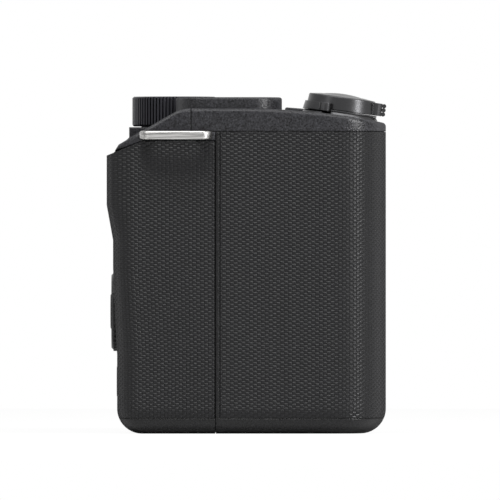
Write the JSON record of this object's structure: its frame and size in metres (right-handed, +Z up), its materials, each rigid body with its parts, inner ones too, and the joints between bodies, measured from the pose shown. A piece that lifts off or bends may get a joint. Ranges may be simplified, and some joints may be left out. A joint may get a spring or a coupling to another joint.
{
  "type": "mirrorless camera body",
  "caption": "Compact mirrorless camera body with deep hand grip, open lens mount, side-swinging monitor, zoom lever round the shutter button, top dial, flat strap lugs and a tripod socket.",
  "frame": {"origin": "mouth of the tripod socket, in the base plane and under the lens axis", "axes": "+Z up, -Y the way the lens looks, +X towards the port side; the hand grip is on the -X side"},
  "size_m": [0.124, 0.0548, 0.0668],
  "materials": {
    "shell": "fine matt grain",
    "control_plastic": "satin",
    "inner_black": "matt",
    "grip_rubber": "moulded texture",
    "dark_metal": "satin black",
    "screw_black": "satin black",
    "bright_metal": "satin",
    "spring_steel": "satin",
    "frame_metal": "cast",
    "gold": "polished",
    "ceramic_grey": "matt",
    "board": "satin",
    "sensor_glass": "coated",
    "screen_glass": "gloss",
    "lamp": "gloss"
  },
  "bodies": {
    "chassis": {"front_cover": "shell", "rear_cover": "shell", "top_cover": "shell", "base_plate": "shell", "grip_skin": "grip_rubber", "thumb_skin": "grip_rubber", "mount_ring": "bright_metal", "mount_screws": "bright_metal", "mount_spring": "spring_steel", "mount_frame": "frame_metal", "light_baffle": "inner_black", "contact_block": "inner_black", "contact_pins": "gold", "sensor_glass": "sensor_glass", "sensor_package": "ceramic_grey", "sensor_plate": "frame_metal", "main_board": "board", "shoe_base": "bright_metal", "shoe_contacts": "inner_black", "mic_grille": "shell", "mic_capsules": "frame_metal", "strap_lug_right": "bright_metal", "strap_lug_left": "bright_metal", "tripod_bush": "bright_metal", "battery_box": "inner_black", "battery_pack": "inner_black", "card_socket": "spring_steel", "memory_card": "inner_black", "top_board": "board", "control_island": "shell", "shutter_collar": "dark_metal", "audio_jacks": "inner_black", "data_ports": "spring_steel", "front_lamp": "lamp", "cover_screws": "screw_black", "hinge_bracket": "dark_metal", "rear_switch_board": "board"},
    "shutter_button": {"shutter_button": "dark_metal"},
    "zoom_lever": {"zoom_lever": "dark_metal"},
    "power_lever": {"power_lever": "dark_metal"},
    "movie_button": {"movie_button": "shell"},
    "mode_button": {"mode_button": "shell"},
    "custom_button": {"custom_button": "shell"},
    "control_dial": {"control_dial": "dark_metal"},
    "control_wheel": {"control_wheel": "control_plastic"},
    "centre_button": {"centre_button": "control_plastic"},
    "menu_button": {"menu_button": "control_plastic"},
    "function_button": {"function_button": "control_plastic"},
    "playback_button": {"playback_button": "control_plastic"},
    "delete_button": {"delete_button": "control_plastic"},
    "monitor": {"hinge_arm": "shell", "monitor_tray": "shell", "monitor_glass": "screen_glass"},
    "battery_door": {"battery_door": "shell"},
    "door_latch": {"door_latch": "control_plastic"},
    "mic_port_door": {"mic_port_door": "shell"},
    "data_port_door": {"data_port_door": "shell"},
    "release_button": {"release_button": "control_plastic"},
    "lens_lock_pin": {"lens_lock_pin": "bright_metal"}
  },
  "joints": [
    {"name": "shutter_press", "type": "slide", "parent": "chassis", "child": "shutter_button", "axis": [0, 0.1361, -0.9907], "range_m": [0, 0.0006], "stiffness_N_per_m": 300, "springref_m": -0.0008},
    {"name": "zoom_turn", "type": "hinge", "parent": "chassis", "child": "zoom_lever", "pos_m": [-0.0535, -0.0196, 0.06236], "axis": [0, -0.1361, 0.9907], "range_deg": [-20, 20], "stiffness_Nm_per_rad": 0.01},
    {"name": "power_turn", "type": "hinge", "parent": "chassis", "child": "power_lever", "pos_m": [-0.0535, -0.0196, 0.06236], "axis": [0, -0.1361, 0.9907], "range_deg": [0, 25]},
    {"name": "movie_press", "type": "slide", "parent": "chassis", "child": "movie_button", "axis": [0, 0, -1], "range_m": [0, 0.0004], "stiffness_N_per_m": 300, "springref_m": -0.0008},
    {"name": "mode_press", "type": "slide", "parent": "chassis", "child": "mode_button", "axis": [0, 0, -1], "range_m": [0, 0.0004], "stiffness_N_per_m": 300, "springref_m": -0.0008},
    {"name": "custom_press", "type": "slide", "parent": "chassis", "child": "custom_button", "axis": [0, 0.0799, -0.9968], "range_m": [0, 0.0004], "stiffness_N_per_m": 300, "springref_m": -0.0008},
    {"name": "dial_turn", "type": "hinge", "parent": "chassis", "child": "control_dial", "pos_m": [-0.0405, 0.01297, 0.063], "axis": [0, 0, 1], "continuous": true},
    {"name": "wheel_turn", "type": "hinge", "parent": "chassis", "child": "control_wheel", "pos_m": [-0.046, 0.024, 0.0239], "axis": [0, 1, 0], "continuous": true},
    {"name": "centre_press", "type": "slide", "parent": "chassis", "child": "centre_button", "axis": [0, -1, 0], "range_m": [0, 0.0005], "stiffness_N_per_m": 300, "springref_m": -0.0008},
    {"name": "menu_press", "type": "slide", "parent": "chassis", "child": "menu_button", "axis": [0, -1, 0], "range_m": [0, 0.0005], "stiffness_N_per_m": 300, "springref_m": -0.0008},
    {"name": "function_press", "type": "slide", "parent": "chassis", "child": "function_button", "axis": [0, -1, 0], "range_m": [0, 0.0005], "stiffness_N_per_m": 300, "springref_m": -0.0008},
    {"name": "playback_press", "type": "slide", "parent": "chassis", "child": "playback_button", "axis": [0, -1, 0], "range_m": [0, 0.0005], "stiffness_N_per_m": 300, "springref_m": -0.0008},
    {"name": "delete_press", "type": "slide", "parent": "chassis", "child": "delete_button", "axis": [0, -1, 0], "range_m": [0, 0.0005], "stiffness_N_per_m": 300, "springref_m": -0.0008},
    {"name": "monitor_swing", "type": "hinge", "parent": "chassis", "child": "monitor", "pos_m": [0.045, 0.018, 0.032], "axis": [0, 0, -1], "range_deg": [0, 176]},
    {"name": "battery_door_swing", "type": "hinge", "parent": "chassis", "child": "battery_door", "pos_m": [-0.0373, 0.006, 0.00085], "axis": [0, -1, 0], "range_deg": [0, 100]},
    {"name": "latch_slide", "type": "slide", "parent": "battery_door", "child": "door_latch", "axis": [0, 1, 0], "range_m": [0, 0.002]},
    {"name": "mic_door_swing", "type": "hinge", "parent": "chassis", "child": "mic_port_door", "pos_m": [0.0473, 0.0004, 0.0485], "axis": [0, 0, -1], "range_deg": [0, 90]},
    {"name": "data_door_swing", "type": "hinge", "parent": "chassis", "child": "data_port_door", "pos_m": [0.0473, 0.0004, 0.027], "axis": [0, 0, -1], "range_deg": [0, 90]},
    {"name": "release_press", "type": "slide", "parent": "chassis", "child": "release_button", "axis": [0, 1, 0], "range_m": [0, 0.0012], "stiffness_N_per_m": 200, "springref_m": -0.0008},
    {"name": "lock_pin_draw", "type": "slide", "parent": "chassis", "child": "lens_lock_pin", "axis": [0, 1, 0], "range_m": [0, 0.0012]}
  ],
  "couplings": [
    {"joint": "lock_pin_draw", "follows": "release_press", "ratio": 1}
  ]
}
